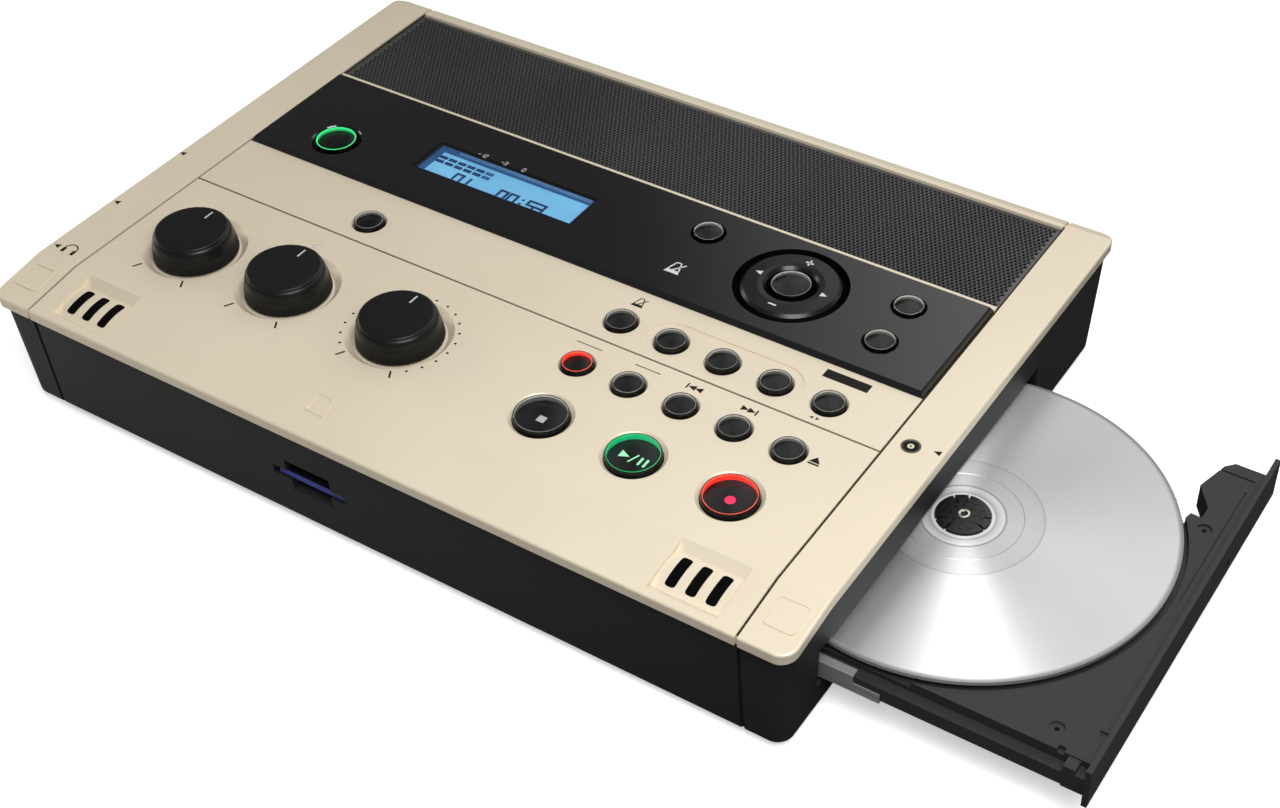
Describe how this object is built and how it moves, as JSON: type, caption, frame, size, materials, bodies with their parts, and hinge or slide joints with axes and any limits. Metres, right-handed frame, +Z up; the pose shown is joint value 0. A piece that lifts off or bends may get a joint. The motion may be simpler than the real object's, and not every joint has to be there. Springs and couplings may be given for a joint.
{
  "type": "cd recorder",
  "caption": "Table-top audio recorder with knobs, push buttons, raised display plate, speaker grille, memory-card slot and a disc tray that slides out of its side.",
  "frame": {"origin": "centre of the case's flat underside; the feet stand 2.5 mm below it", "axes": "+X to the side the disc tray slides out of, +Y to the back, +Z up; the tray is partly out at rest"},
  "size_m": [0.3623, 0.198, 0.0523],
  "materials": {
    "champagne_plastic": "satin metallic paint",
    "case_plastic": "fine texture",
    "gloss_black": "gloss",
    "knob_plastic": "satin",
    "button_clear": "gloss",
    "ring_plastic": "satin",
    "window_clear": "clear",
    "display_glass": "lit",
    "grille_steel": "perforated, satin",
    "mesh": "mesh",
    "speaker_cone": "paper",
    "tray_plastic": "fine texture",
    "steel": "plain",
    "plated": "plated",
    "rubber": "matt",
    "circuit_board": "solder mask",
    "hub_plastic": "satin",
    "disc_plastic": "mirror layer",
    "card_plastic": "satin",
    "socket_black": "satin"
  },
  "bodies": {
    "case": {"lower_case": "case_plastic", "left_cheek": "case_plastic", "right_cheek": "case_plastic", "rubber_feet": "rubber", "case_screws": "plated", "top_panel": "champagne_plastic", "left_rail": "champagne_plastic", "right_rail": "champagne_plastic", "display_plate": "gloss_black", "display_window": "window_clear", "display_module": "display_glass", "speaker_grille": "grille_steel", "speaker_drivers": "speaker_cone", "mic_inserts": "mesh", "peak_lenses": "window_clear", "knob_pots": "steel", "panel_board": "circuit_board", "main_board": "circuit_board", "drive_housing": "steel", "card_socket": "steel", "phono_jacks": "plated", "mini_jacks": "socket_black", "combo_sockets": "socket_black", "usb_port": "plated", "dc_inlet": "socket_black"},
    "tray": {"disc_tray": "tray_plastic", "tray_bezel": "tray_plastic", "spindle_motor": "steel"},
    "rail": {"slide_rail": "steel"},
    "spinner": {"spindle_hub": "hub_plastic", "disc": "disc_plastic"},
    "sled": {"pickup_sled": "tray_plastic"},
    "card": {"memory_card": "card_plastic"},
    "gimbal": {"nav_gimbal": "socket_black"},
    "nav": {"nav_ring": "ring_plastic"},
    "mic_control": {"mic_knob": "knob_plastic", "mic_shaft": "steel"},
    "line_control": {"line_knob": "knob_plastic", "line_shaft": "steel"},
    "volume_control": {"volume_knob": "knob_plastic", "volume_shaft": "steel"},
    "guide_button": {"guide_button": "button_clear"},
    "function_button_1": {"function_button_1": "button_clear"},
    "function_button_2": {"function_button_2": "button_clear"},
    "function_button_3": {"function_button_3": "button_clear"},
    "function_button_4": {"function_button_4": "button_clear"},
    "function_button_5": {"function_button_5": "button_clear"},
    "mode_button_1": {"mode_button_1": "button_clear"},
    "mode_button_2": {"mode_button_2": "button_clear"},
    "back_button": {"back_button": "button_clear"},
    "forward_button": {"forward_button": "button_clear"},
    "eject_button": {"eject_button": "button_clear"},
    "stop_button": {"stop_button": "button_clear"},
    "play_button": {"play_button": "button_clear"},
    "record_button": {"record_button": "button_clear"},
    "power_button": {"power_button": "button_clear"},
    "speaker_button": {"speaker_button": "button_clear"},
    "menu_button": {"menu_button": "button_clear"},
    "exit_button": {"exit_button": "button_clear"},
    "enter_button": {"enter_button": "button_clear"}
  },
  "joints": [
    {"name": "tray_slide", "type": "slide", "parent": "case", "child": "tray", "axis": [1, 0, 0], "range_m": [-0.0756, 0.054]},
    {"name": "rail_slide", "type": "slide", "parent": "case", "child": "rail", "axis": [1, 0, 0], "range_m": [-0.0378, 0.027]},
    {"name": "disc_spin", "type": "hinge", "parent": "tray", "child": "spinner", "pos_m": [0.1473, -0.0147, 0.0205], "axis": [0, 0, 1], "continuous": true},
    {"name": "sled_slide", "type": "slide", "parent": "tray", "child": "sled", "axis": [-1, 0, 0], "range_m": [0, 0.023]},
    {"name": "card_slide", "type": "slide", "parent": "case", "child": "card", "axis": [0, -1, 0], "range_m": [0, 0.026]},
    {"name": "mic_turn", "type": "hinge", "parent": "case", "child": "mic_control", "pos_m": [-0.1002, -0.0517, 0.0425], "axis": [0, 0, -1], "range_deg": [-150, 150]},
    {"name": "line_turn", "type": "hinge", "parent": "case", "child": "line_control", "pos_m": [-0.0625, -0.0517, 0.0425], "axis": [0, 0, -1], "range_deg": [-150, 150]},
    {"name": "volume_turn", "type": "hinge", "parent": "case", "child": "volume_control", "pos_m": [-0.0193, -0.0517, 0.0425], "axis": [0, 0, -1], "range_deg": [-150, 150]},
    {"name": "guide_press", "type": "slide", "parent": "case", "child": "guide_button", "axis": [0, 0, -1], "range_m": [0, 0.001], "stiffness_N_per_m": 800},
    {"name": "function_1_press", "type": "slide", "parent": "case", "child": "function_button_1", "axis": [0, 0, -1], "range_m": [0, 0.001], "stiffness_N_per_m": 800},
    {"name": "function_2_press", "type": "slide", "parent": "case", "child": "function_button_2", "axis": [0, 0, -1], "range_m": [0, 0.001], "stiffness_N_per_m": 800},
    {"name": "function_3_press", "type": "slide", "parent": "case", "child": "function_button_3", "axis": [0, 0, -1], "range_m": [0, 0.001], "stiffness_N_per_m": 800},
    {"name": "function_4_press", "type": "slide", "parent": "case", "child": "function_button_4", "axis": [0, 0, -1], "range_m": [0, 0.001], "stiffness_N_per_m": 800},
    {"name": "function_5_press", "type": "slide", "parent": "case", "child": "function_button_5", "axis": [0, 0, -1], "range_m": [0, 0.001], "stiffness_N_per_m": 800},
    {"name": "mode_1_press", "type": "slide", "parent": "case", "child": "mode_button_1", "axis": [0, 0, -1], "range_m": [0, 0.001], "stiffness_N_per_m": 800},
    {"name": "mode_2_press", "type": "slide", "parent": "case", "child": "mode_button_2", "axis": [0, 0, -1], "range_m": [0, 0.001], "stiffness_N_per_m": 800},
    {"name": "back_press", "type": "slide", "parent": "case", "child": "back_button", "axis": [0, 0, -1], "range_m": [0, 0.001], "stiffness_N_per_m": 800},
    {"name": "forward_press", "type": "slide", "parent": "case", "child": "forward_button", "axis": [0, 0, -1], "range_m": [0, 0.001], "stiffness_N_per_m": 800},
    {"name": "eject_press", "type": "slide", "parent": "case", "child": "eject_button", "axis": [0, 0, -1], "range_m": [0, 0.001], "stiffness_N_per_m": 800},
    {"name": "stop_press", "type": "slide", "parent": "case", "child": "stop_button", "axis": [0, 0, -1], "range_m": [0, 0.001], "stiffness_N_per_m": 800},
    {"name": "play_press", "type": "slide", "parent": "case", "child": "play_button", "axis": [0, 0, -1], "range_m": [0, 0.001], "stiffness_N_per_m": 800},
    {"name": "record_press", "type": "slide", "parent": "case", "child": "record_button", "axis": [0, 0, -1], "range_m": [0, 0.001], "stiffness_N_per_m": 800},
    {"name": "power_press", "type": "slide", "parent": "case", "child": "power_button", "axis": [0, 0, -1], "range_m": [0, 0.001], "stiffness_N_per_m": 800},
    {"name": "speaker_press", "type": "slide", "parent": "case", "child": "speaker_button", "axis": [0, 0, -1], "range_m": [0, 0.001], "stiffness_N_per_m": 800},
    {"name": "menu_press", "type": "slide", "parent": "case", "child": "menu_button", "axis": [0, 0, -1], "range_m": [0, 0.001], "stiffness_N_per_m": 800},
    {"name": "exit_press", "type": "slide", "parent": "case", "child": "exit_button", "axis": [0, 0, -1], "range_m": [0, 0.001], "stiffness_N_per_m": 800},
    {"name": "enter_press", "type": "slide", "parent": "case", "child": "enter_button", "axis": [0, 0, -1], "range_m": [0, 0.001], "stiffness_N_per_m": 800},
    {"name": "nav_tilt_sides", "type": "hinge", "parent": "case", "child": "gimbal", "pos_m": [0.0687, 0.0246, 0.0377], "axis": [0, 1, 0], "range_deg": [-2, 2], "stiffness_Nm_per_rad": 0.2},
    {"name": "nav_tilt_ends", "type": "hinge", "parent": "gimbal", "child": "nav", "pos_m": [0.0687, 0.0246, 0.0377], "axis": [1, 0, 0], "range_deg": [-2, 2], "stiffness_Nm_per_rad": 0.2}
  ],
  "couplings": [
    {"joint": "rail_slide", "follows": "tray_slide", "ratio": 0.5}
  ]
}
